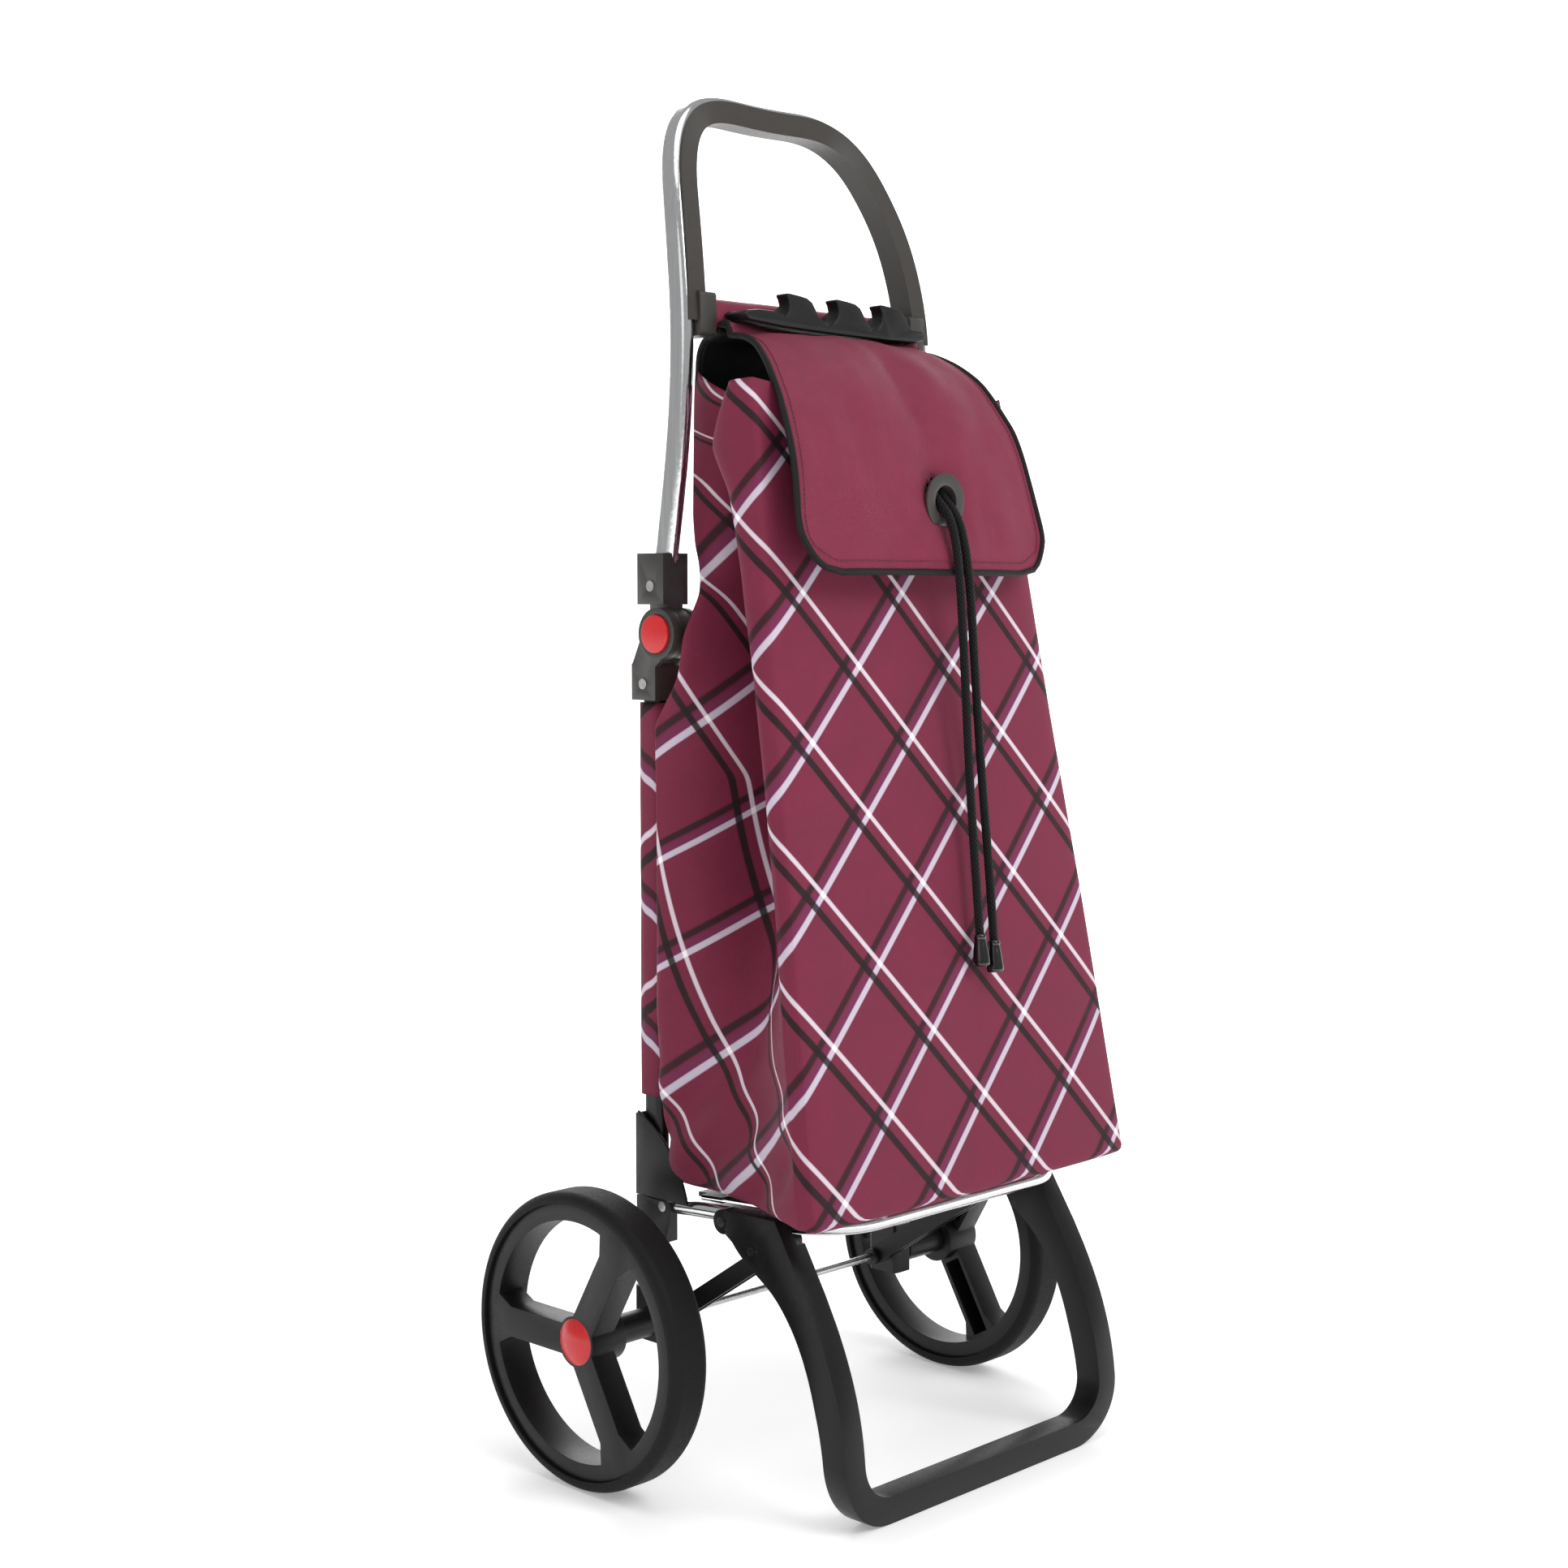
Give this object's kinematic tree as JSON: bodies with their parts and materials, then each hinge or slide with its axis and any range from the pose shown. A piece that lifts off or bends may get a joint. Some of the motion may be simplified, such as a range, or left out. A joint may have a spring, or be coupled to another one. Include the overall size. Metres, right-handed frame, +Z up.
{
  "type": "folding shopping trolley",
  "caption": "Folding shopping trolley with large spoked wheels, a folding handle and carrier, a drop-down standing leg and a tapered fabric bag with a lid.",
  "frame": {"origin": "on the floor, in the middle of the footprint", "axes": "+Z up, -Y is the front, where the bag and the standing leg are, +X to the left of a person behind the trolley"},
  "size_m": [0.4438, 0.3222, 1.0285],
  "materials": {
    "aluminium": "polished",
    "grip": "satin",
    "tyre": "matte",
    "black_tube": "satin",
    "rivet": "polished",
    "red_plastic": "gloss",
    "steel": "zinc plated",
    "plain_fabric": "woven",
    "plaid_fabric": "woven plaid",
    "lining": "mesh",
    "cord": "braided",
    "cord_tip": "gloss",
    "black_plastic": "matte"
  },
  "bodies": {
    "frame": {"axle": "steel", "axle_cap_left": "steel", "axle_cap_right": "steel", "axle_spacer_left": "black_plastic", "axle_spacer_right": "black_plastic", "bag_back_panel": "plaid_fabric", "bag_collar": "lining", "bag_shell": "plaid_fabric", "bag_sleeve_left": "plaid_fabric", "bag_sleeve_right": "plaid_fabric", "carrier_bracket_left": "black_plastic", "carrier_bracket_right": "black_plastic", "carrier_rivets": "rivet", "cord_left": "cord", "cord_right": "cord", "cord_tip_left": "cord_tip", "cord_tip_right": "cord_tip", "corner_pocket_left": "black_plastic", "corner_pocket_right": "black_plastic", "foot_left": "black_plastic", "foot_right": "black_plastic", "hinge_lower_left": "black_plastic", "hinge_lower_right": "black_plastic", "hinge_pin_left": "rivet", "hinge_pin_right": "rivet", "strut_clip_left": "steel", "strut_clip_right": "steel", "upright_left": "black_tube", "upright_right": "black_tube", "upright_rivets": "rivet"},
    "handle": {"handle_tube": "aluminium", "handle_grip": "grip", "handle_rivets": "rivet", "hinge_upper_left": "black_plastic", "hinge_upper_right": "black_plastic", "crossbar": "steel", "crossbar_cover": "plain_fabric", "crossbar_bracket_left": "black_plastic", "crossbar_bracket_right": "black_plastic", "hook_bar": "black_plastic"},
    "carrier": {"carrier_loop": "aluminium", "bag_board": "black_plastic", "leg_rivets": "rivet"},
    "leg": {"leg_loop": "black_plastic", "strut_rivets": "rivet"},
    "struts": {"strut_left": "black_tube", "strut_right": "black_tube"},
    "flap": {"flap": "plain_fabric", "eyelet": "black_plastic"},
    "wheel_left": {"tyre_left": "tyre", "rim_left": "black_plastic", "hub_bush_left": "black_plastic", "hub_cap_left": "red_plastic"},
    "wheel_right": {"tyre_right": "tyre", "rim_right": "black_plastic", "hub_bush_right": "black_plastic", "hub_cap_right": "red_plastic"},
    "button_left": {"button_left": "red_plastic"},
    "button_right": {"button_right": "red_plastic"}
  },
  "joints": [
    {"name": "wheel_left_spin", "type": "hinge", "parent": "frame", "child": "wheel_left", "pos_m": [0.2029, 0.051, 0.11], "axis": [1, 0, 0], "continuous": true},
    {"name": "wheel_right_spin", "type": "hinge", "parent": "frame", "child": "wheel_right", "pos_m": [-0.2029, 0.051, 0.11], "axis": [1, 0, 0], "continuous": true},
    {"name": "handle_fold", "type": "hinge", "parent": "frame", "child": "handle", "pos_m": [0, 0.038, 0.625], "axis": [1, 0, 0], "range_deg": [0, 170], "deforming": ["bag_shell", "bag_collar", "bag_back_panel", "flap", "eyelet", "cord_left", "cord_right", "cord_tip_left", "cord_tip_right"]},
    {"name": "button_left_press", "type": "slide", "parent": "frame", "child": "button_left", "axis": [-1, 0, 0], "range_m": [0, 0.0025], "stiffness_N_per_m": 900, "springref_m": -0.001},
    {"name": "button_right_press", "type": "slide", "parent": "frame", "child": "button_right", "axis": [1, 0, 0], "range_m": [0, 0.0025], "stiffness_N_per_m": 900, "springref_m": -0.001},
    {"name": "carrier_fold", "type": "hinge", "parent": "frame", "child": "carrier", "pos_m": [0, 0.0405, 0.1985], "axis": [1, 0, 0], "range_deg": [-84.5, 0]},
    {"name": "leg_swing", "type": "hinge", "parent": "carrier", "child": "leg", "pos_m": [0, -0.036, 0.203], "axis": [1, 0, 0], "range_deg": [0, 113.5]},
    {"name": "strut_swing", "type": "hinge", "parent": "frame", "child": "struts", "pos_m": [0, 0.051, 0.11], "axis": [1, 0, 0], "range_deg": [-43, 0]},
    {"name": "flap_open", "type": "hinge", "parent": "frame", "child": "flap", "pos_m": [0, 0.012, 0.848], "axis": [1, 0, 0], "range_deg": [-110, 0]}
  ],
  "couplings": [
    {"joint": "leg_swing", "follows": "carrier_fold", "ratio": -1.3431},
    {"joint": "strut_swing", "follows": "carrier_fold", "ratio": 0.50877}
  ]
}
